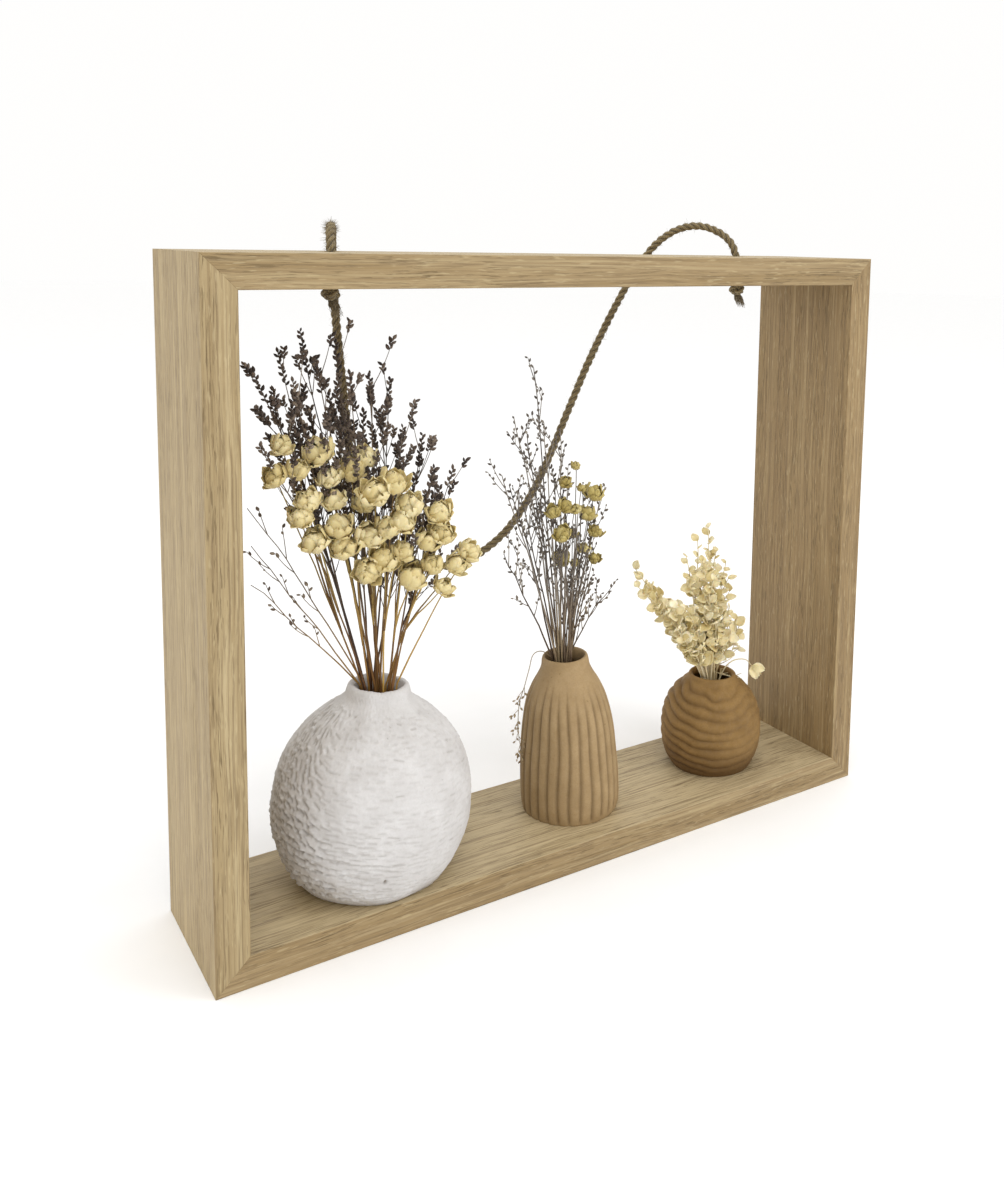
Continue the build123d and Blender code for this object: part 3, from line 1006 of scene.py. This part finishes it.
def taper(line, thick, thin):
    """Radii that shrink along a line."""
    last = len(line) - 1
    return [thick + (thin - thick) * i / last for i in range(last + 1)]


def upper(line, share):
    """The last part of a stem's line, from this share of its points on."""
    return line[round((len(line) - 1) * share) :]


def shoot(line, share, spread, length, rng, rise=0.45):
    """A side shoot that leaves a stem at a share of its line and bends up."""
    i = min(len(line) - 2, max(3, round(share * (len(line) - 1))))
    along = (line[i + 1] - line[i - 1]).normalized()
    turn = rng.uniform(0, 2 * math.pi)
    side = Vector((math.cos(turn), 0.55 * math.sin(turn), 0.1 * math.sin(turn * 3)))
    side = (side - along * side.dot(along)).normalized()
    heading = (along * math.cos(spread) + side * math.sin(spread)).normalized()
    points = [line[i].copy()]
    steps = max(3, round(length / 0.003))
    for _ in range(steps):
        heading = (heading + Vector((0, 0, rise / steps)) + along * 0.25 / steps).normalized()
        points.append(points[-1] + heading * length / steps)
    return points


def bud_spike(buds, line, start, spacing, size, rng, dark=0.35):
    """Small buds crowded up the end of a shoot, alternately on each side of it."""
    places = evenly(line, spacing)
    frames = frames_along(places)
    first = round(start * (len(places) - 1))
    for i in range(first, len(places)):
        tangent, side, other = frames[i]
        turn = i * GOLDEN_TURN + rng.uniform(-0.4, 0.4)
        out = side * math.cos(turn) + other * math.sin(turn)
        heading = (tangent * rng.uniform(0.9, 1.5) + out).normalized()
        length = size * rng.uniform(0.8, 1.25)
        tint = clamp(rng.gauss(dark, 0.22))
        buds.bud(places[i] + out * 0.0002, heading, length, length * rng.uniform(0.5, 0.65), tint)


def papery_head(heads, centre, up, radius, rng):
    """A dried everlasting: broad papery bracts crumpled over each other round a small,
    uneven globe."""
    shade = rng.uniform(0.3, 0.8)
    up = up.normalized()
    side = up.orthogonal().normalized()
    other = up.cross(side)
    squat = rng.uniform(0.52, 0.85)
    core = [centre + up * radius * squat * h for h in (-0.8, -0.62, -0.3, 0.1, 0.45, 0.72)]
    heads.tube(core, [radius * r for r in (0.2, 0.5, 0.76, 0.8, 0.62, 0.25)], 10, shade)
    for i in range(BRACTS):
        polar = math.acos(1 - 1.9 * (i + 0.5) / BRACTS)
        turn = i * GOLDEN_TURN + rng.uniform(-0.3, 0.3)
        flat = side * math.cos(turn) + other * math.sin(turn)
        out = up * math.cos(polar) * squat + flat * math.sin(polar)
        rising = (up * math.sin(polar) - flat * math.cos(polar)).normalized()
        length = radius * rng.uniform(0.9, 1.3)
        width = radius * rng.uniform(0.9, 1.3)
        flare = rng.uniform(0.0, 0.8)
        crumple = mm(*(rng.uniform(-200, 200) for _ in range(3)))
        heading = (rising + out * flare + crumple).normalized()
        base = centre + out * radius * rng.uniform(0.78, 0.9) - rising * length * 0.45
        # Bracts on top of a head are painted a little lighter and those underneath darker, as
        # painted light from above.
        tint = clamp(shade + rng.uniform(-0.18, 0.18) + 0.1 * math.cos(polar))
        heads.leaf(base, heading, out, length, width, rng.uniform(-0.3, -0.12), 0.16, tint)


BRACTS = 24
HEAD_SCALE = 0.00094

# A tip is (x, z, depth): the place in the plane y = 0 that it covers, seen from the camera,
# and its real depth, in millimetres. Fans and drifts spread their tips by the two steps.
STEPS = (0.618, 0.755)


def fill(i, step):
    """The i-th of a row of values that fill 0 to 1 evenly, however many there are."""
    return (i + 0.5) * step % 1


def fan(count, left, right, crest, drop, depth):
    """Tips side by side from left to right, each at the crest or up to a drop below it."""
    tips = []
    for i in range(count):
        across = (i + 0.5) / count
        z = crest(across) - drop * fill(i, STEPS[0])
        tips.append((left + (right - left) * across, z, depth * (2 * fill(i, STEPS[1]) - 1)))
    return tips


def drift(count, middle, reach, tilt, near, deep, small, large):
    """Heads packed in a tilted oval like the seeds of a sunflower, from left to right, as
    tips with a radius."""
    heads = []
    for i in range(count):
        out, turn = math.sqrt((i + 0.5) / count), i * GOLDEN_TURN
        a, b = reach[0] * out * math.cos(turn), reach[1] * out * math.sin(turn)
        x = middle[0] + a * math.cos(tilt) - b * math.sin(tilt)
        z = middle[1] + a * math.sin(tilt) + b * math.cos(tilt)
        depth = near + (deep - near) * fill(i, STEPS[0])
        heads.append((x, z, depth, small + (large - small) * fill(i, STEPS[1])))
    return sorted(heads)


STATICE_TIPS = fan(30, -125, -46, lambda across: 222 - 46 * ease(across, 0.4, 1.0), 46, 18)
STRAY_TIPS = [(-127, z, 4) for z in (132, 146, 160)]
CREAM_HEADS = drift(31, (-80, 149), (49, 20), math.radians(-36), -21, -5, 4.0, 5.8)
TWIG_TIPS = fan(21, -28, 26, lambda across: 206 - 90 * abs(across - 0.3), 62, 9)
YELLOW_HEADS = drift(15, (11, 138), (25, 13), math.radians(100), -11, 5, 1.6, 4.2)
LEAF_TIPS = fan(9, 40, 67, lambda across: 117 - 32 * across, 10, 7) + fan(
    18, 69, 108, lambda across: 126 - 46 * ease(across, 0.4, 1.0), 40, 10
)


def make_white_bunch():
    """Dark statice over a bed of cream everlastings, golden where the stems meet."""
    rng = random.Random(23)
    mouth = vase_mouth(WHITE_X, WHITE_LEAN, WHITE_HEIGHT, 7.6, 46)
    twigs, buds, stems, heads = Shape(), Shape(), Shape(), Shape()
    for first, second in zip(STATICE_TIPS[::2], STATICE_TIPS[1::2]):
        stem = stem_line(mouth, in_sight(*first), rng, 0.07)
        fork = branch(stem, rng.uniform(0.35, 0.5), in_sight(*second), rng)
        twigs.tube(stem, taper(stem, 0.00046, 0.00016), 6, rng.random())
        twigs.tube(fork, taper(fork, 0.00036, 0.00015), 6, rng.random())
        for line, start in ((stem, 0.45), (fork, 0.15)):
            bud_spike(buds, upper(line, 0.9), 0.1, 0.0009, 0.0020, rng, rng.uniform(0.1, 0.5))
            for k in range(10):
                share = start + (0.96 - start) * (k // 3 * 3 + rng.uniform(0.7, 2.1)) / 10
                side = shoot(line, share, rng.uniform(0.3, 0.8), rng.uniform(0.008, 0.021), rng)
                if all(p.z < BUNCH_TOP and BUNCH_LEFT < p.x < BUNCH_RIGHT for p in side):
                    twigs.tube(side, taper(side, 0.0002, 0.0001), 5, rng.random())
                    if k % 5:
                        dark = rng.uniform(0.1, 0.7)
                        bud_spike(buds, side, rng.uniform(0.55, 0.8), 0.0006, 0.0020, rng, dark)
    for tip in STRAY_TIPS:
        line = stem_line(mouth, in_sight(*tip), rng, 0.02)
        twigs.tube(line, taper(line, 0.00034, 0.00015), 5, 0.9)
        for k in range(5):
            side = shoot(line, 0.5 + 0.09 * k, 0.5, rng.uniform(0.006, 0.012), rng)
            twigs.tube(side, taper(side, 0.0002, 0.00012), 5, 0.9)
            bud_spike(buds, side, 0.8, 0.0024, 0.0017, rng, 0.8)
    for i in range(0, len(CREAM_HEADS), 3):
        stem = None
        for x, z, depth, radius in CREAM_HEADS[i : i + 3]:
            centre = in_sight(x, z, depth)
            if stem is None:
                line = stem = stem_line(mouth, centre, rng, 0.04)
            else:
                line = branch(stem, rng.uniform(0.35, 0.6), centre, rng)
            stems.tube(line, taper(line, 0.00042, 0.0002), 5, rng.random())
            facing = line[-1] - line[-3] + mm(rng.uniform(-4, 4), -4, rng.uniform(-1, 3))
            papery_head(heads, centre, facing, radius * HEAD_SCALE, rng)
    straw = stalk(
        "statice_stalk", 0.088, 0.135,
        ((0.2, "3A2110"), (0.5, "6B4620"), (0.8, "A07C3E")),
        ((0.2, "382B20"), (0.5, "5C4B3A"), (0.9, "8C8072")),
    )
    golden = stalk(
        "cream_stalk", 0.088, 0.15,
        ((0.2, "4E2C12"), (0.5, "8A6228"), (0.8, "BA9448")),
        ((0.2, "6A4E28"), (0.5, "948046"), (0.9, "BCAA70")),
    )
    plum = dried("statice_bud", (0.1, "2C211B"), (0.4, "4C3D33"), (0.7, "746456"), (1.0, "A09280"))
    cream = dried(
        "cream_bract", (0.05, "AC9458"), (0.3, "CAB578"), (0.6, "DCCB94"), (0.95, "EEE2B8"),
        roughness=0.65, soft=0.2, wrinkle=500,
    )
    add_piece("statice_branches", twigs, straw, "bunch_white", "dried_stem", "statice_stems")
    add_piece("statice_buds", buds, plum, "bunch_white", "dried_statice", "statice_spikes")
    add_piece("cream_flower_stems", stems, golden, "bunch_white", "dried_stem", "cream_stems")
    obj = add_piece("cream_flower_heads", heads, cream, "bunch_white", "dried_cream", "cream_heads")
    thicken(obj, 0.00016)


# The box that the white bunch's side shoots stay in, clear of the boards and of the next
# bunch wherever its vase slides.
BUNCH_TOP = 0.2275
BUNCH_LEFT, BUNCH_RIGHT = -0.134, -0.038


SPRIG_ROUTE = [
    (2, 1, 77), (-2.6, 4.0, 81.4), (-6.6, 5.5, 80.4), (-8.6, 5.5, 74.3), (-10.8, 5.6, 67),
    (-13.3, 5.6, 59.5), (-13.8, 5.0, 48), (-12.6, 4.0, 39), (-10.6, 3.0, 31.5),
]


def drooping_sprig(twigs, rng):
    """A thin sprig that hangs over the rim and down the left of the fluted vase."""
    line = smooth([mm(*place) for place in SPRIG_ROUTE], 5)
    twigs.tube(line, taper(line, 0.00022, 0.00012), 5, 0.8)
    for k in range(14):
        share = 0.5 + 0.035 * k
        side = shoot(line, share, rng.uniform(0.4, 1.1), rng.uniform(0.003, 0.0065), rng, -0.3)
        twigs.tube(side, taper(side, 0.00014, 0.0001), 4, 0.8)
        bud_spike(twigs, side, 0.5, 0.0013, 0.0014, rng, 1.0)


def make_fluted_bunch():
    """Wiry grey twigs with a few olive everlastings on the right."""
    rng = random.Random(37)
    mouth = vase_mouth(FLUTED_X, FLUTED_LEAN, FLUTED_HEIGHT, 6.6, 34)
    twigs, stems, heads = Shape(), Shape(), Shape()
    for x, z, depth in TWIG_TIPS:
        line = stem_line(mouth, in_sight(x, z, depth), rng, 0.05)
        twigs.tube(line, taper(line, 0.00045, 0.00018), 6, rng.random())
        bud_spike(twigs, upper(line, 0.8), 0.1, 0.0026, 0.0017, rng, 0.4)
        for k in range(7):
            share = 0.46 + 0.5 * (k + rng.random()) / 7
            side = shoot(line, share, rng.uniform(0.3, 0.8), rng.uniform(0.005, 0.017), rng)
            twigs.tube(side, taper(side, 0.00024, 0.00012), 5, rng.random())
            bud_spike(twigs, side, 0.6, 0.0021, 0.0016, rng, 0.4)
            if k % 2:
                tip = shoot(side, 0.5, 0.6, rng.uniform(0.003, 0.007), rng)
                twigs.tube(tip, taper(tip, 0.00016, 0.0001), 4, rng.random())
                bud_spike(twigs, tip, 0.6, 0.0016, 0.0014, rng, 0.5)
    drooping_sprig(twigs, rng)
    for x, z, depth, radius in YELLOW_HEADS:
        centre = in_sight(x, z, depth)
        line = stem_line(mouth, centre, rng, 0.04)
        stems.tube(line, taper(line, 0.0004, 0.00018), 5, rng.random())
        facing = line[-1] - line[-3] + mm(rng.uniform(-3, 3), -2, rng.uniform(0, 3))
        papery_head(heads, centre, facing, radius * HEAD_SCALE, rng)
    grey = stalk(
        "grey_stalk", 0.08, 0.12,
        ((0.2, "4A3826"), (0.5, "75614A"), (0.8, "A08C6A")),
        ((0.2, "453C36"), (0.5, "70665B"), (0.9, "AAA195")),
    )
    olive = dried(
        "olive_bract", (0.05, "6E5A24"), (0.3, "94803C"), (0.6, "B6A45E"), (0.95, "D2C58C"),
        roughness=0.65, soft=0.1, wrinkle=800,
    )
    add_piece("grey_twig_branches", twigs, grey, "bunch_fluted", "dried_twig", "grey_twigs")
    add_piece("olive_flower_stems", stems, grey, "bunch_fluted", "dried_twig", "yellow_stems")
    obj = add_piece(
        "olive_flower_heads", heads, olive, "bunch_fluted", "dried_yellow", "yellow_heads"
    )
    thicken(obj, 0.00015)


# No leaf grows below the rim of the ribbed vase.
LOWEST_LEAF = 0.061


def leafy_shoot(leaves, line, first, spacing, size, rng):
    """Small cupped leaves in turns round a shoot, smaller towards its tip."""
    places = evenly(line, spacing)
    frames = frames_along(places)
    for i in range(round(first * (len(places) - 1)), len(places)):
        if places[i].z < LOWEST_LEAF:
            continue
        tangent, side, other = frames[i]
        turn = i * GOLDEN_TURN + rng.uniform(-0.5, 0.5)
        out = side * math.cos(turn) + other * math.sin(turn)
        heading = (tangent * rng.uniform(0.1, 0.9) + out).normalized()
        length = size * rng.uniform(0.75, 1.25) * (1.15 - 0.55 * i / len(places))
        face = (tangent + Vector((-0.5, -0.8, 0.4)) * rng.uniform(0.2, 1.6)).normalized()
        tint = clamp(rng.gauss(0.6, 0.2))
        width = length * rng.uniform(0.75, 1.05)
        leaves.leaf(places[i], heading, face, length, width, 0.2, -0.15, tint)


DROOP_ROUTE = [(88, -1, 40), (91.5, -2.5, 54), (96, -4.5, 60), (103, -6, 60), (107, -6.5, 56)]


def make_ribbed_bunch():
    """Bleached leafy sprays, one arm reaching left and one leaf hanging over the rim."""
    rng = random.Random(51)
    mouth = vase_mouth(RIBBED_X, 0.0, RIBBED_HEIGHT, 6.8, 30)
    stems, leaves = Shape(), Shape()
    for x, z, depth in LEAF_TIPS:
        line = stem_line(mouth, in_sight(x, z, depth), rng, 0.10)
        stems.tube(line, taper(line, 0.0005, 0.0002), 6, rng.random())
        leafy_shoot(leaves, upper(line, 0.2), 0.08, 0.0037, 0.0057, rng)
        for k in range(3):
            swing, length = rng.uniform(0.4, 0.8), rng.uniform(0.006, 0.011)
            side = shoot(line, 0.5 + 0.14 * k, swing, length, rng)
            stems.tube(side, taper(side, 0.00028, 0.00014), 5, rng.random())
            leafy_shoot(leaves, side, 0.3, 0.0032, 0.0052, rng)
    droop = smooth([mm(*place) for place in DROOP_ROUTE], 4)
    stems.tube(droop, taper(droop, 0.0004, 0.0002), 5, 0.5)
    hanging = (droop[-1] - droop[-3]).normalized()
    for k in (-1.0, 0.1, 0.9):
        heading = (hanging + Vector((0.5 * k, -0.6 * abs(k), 0.5 * k))).normalized()
        leaves.leaf(droop[-1], heading, Vector((-0.6, -0.8, 0.3)), 0.0062, 0.0048, 0.2, -0.1, 0.6)
    pale = stalk(
        "bleached_stalk", 0.05, 0.1,
        ((0.2, "B9A376"), (0.5, "D3C29A"), (0.8, "E6DBBC")),
        ((0.2, "BFAE82"), (0.5, "D8CAA2"), (0.9, "EDE4C8")),
    )
    bleached = dried(
        "bleached_leaf", (0.05, "BCA566"), (0.35, "D9C78E"), (0.65, "EADDB2"), (0.95, "F8F1D6"),
        roughness=0.55, soft=0.25, wrinkle=500,
    )
    add_piece("bleached_branches", stems, pale, "bunch_ribbed", "dried_stem", "spray_stems")
    obj = add_piece(
        "bleached_leaves", leaves, bleached, "bunch_ribbed", "bleached_leaf", "leaf_sprays"
    )
    thicken(obj, 0.00018)


# --- Stage ----------------------------------------------------------------------------------
def make_stage():
    """A plain pale floor, and light from three soft boxes and from all round."""
    f = Finish("floor_paper", 0.9)
    mottle = f.noise(f.place(), 40, detail=2)
    paper = f.finish(f.ramp(mottle, (0.3, "FDFDFD"), (0.7, "FFFFFF")))
    model = bmesh.new()
    bmesh.ops.create_circle(model, segments=96, radius=6, cap_ends=True)
    mesh = bpy.data.meshes.new("floor")
    model.to_mesh(mesh)
    model.free()
    add_object("floor", mesh, paper)
    world = bpy.data.worlds.new("soft_white")
    world.use_nodes = True
    world.node_tree.nodes["Background"].inputs["Color"].default_value = (1.0, 0.995, 0.985, 1)
    world.node_tree.nodes["Background"].inputs["Strength"].default_value = WORLD_LIGHT
    bpy.context.scene.world = world
    for name, place, size, power in SOFT_BOXES:
        data = bpy.data.lights.new(name, "AREA")
        data.size = size
        data.energy = power
        lamp = bpy.data.objects.new(name, data)
        lamp.location = place
        aim = LIT_MIDDLE - Vector(place)
        lamp.rotation_euler = aim.to_track_quat("-Z", "Y").to_euler()
        bpy.context.scene.collection.objects.link(lamp)
    bpy.context.scene.view_settings.view_transform = "Standard"


WORLD_LIGHT = 1.0
LIT_MIDDLE = Vector((0, 0, 0.12))
SOFT_BOXES = [
    ("key_soft_box", (0.75, -0.85, 0.95), 0.5, 3.5),
    ("top_soft_box", (-0.25, -0.6, 1.35), 0.7, 4.0),
    ("left_soft_box", (-1.5, 0.25, 0.35), 0.5, 2.5),
]

make_camera()
make_rope()
make_frame()
make_vases()
make_white_bunch()
make_fluted_bunch()
make_ribbed_bunch()
make_stage()
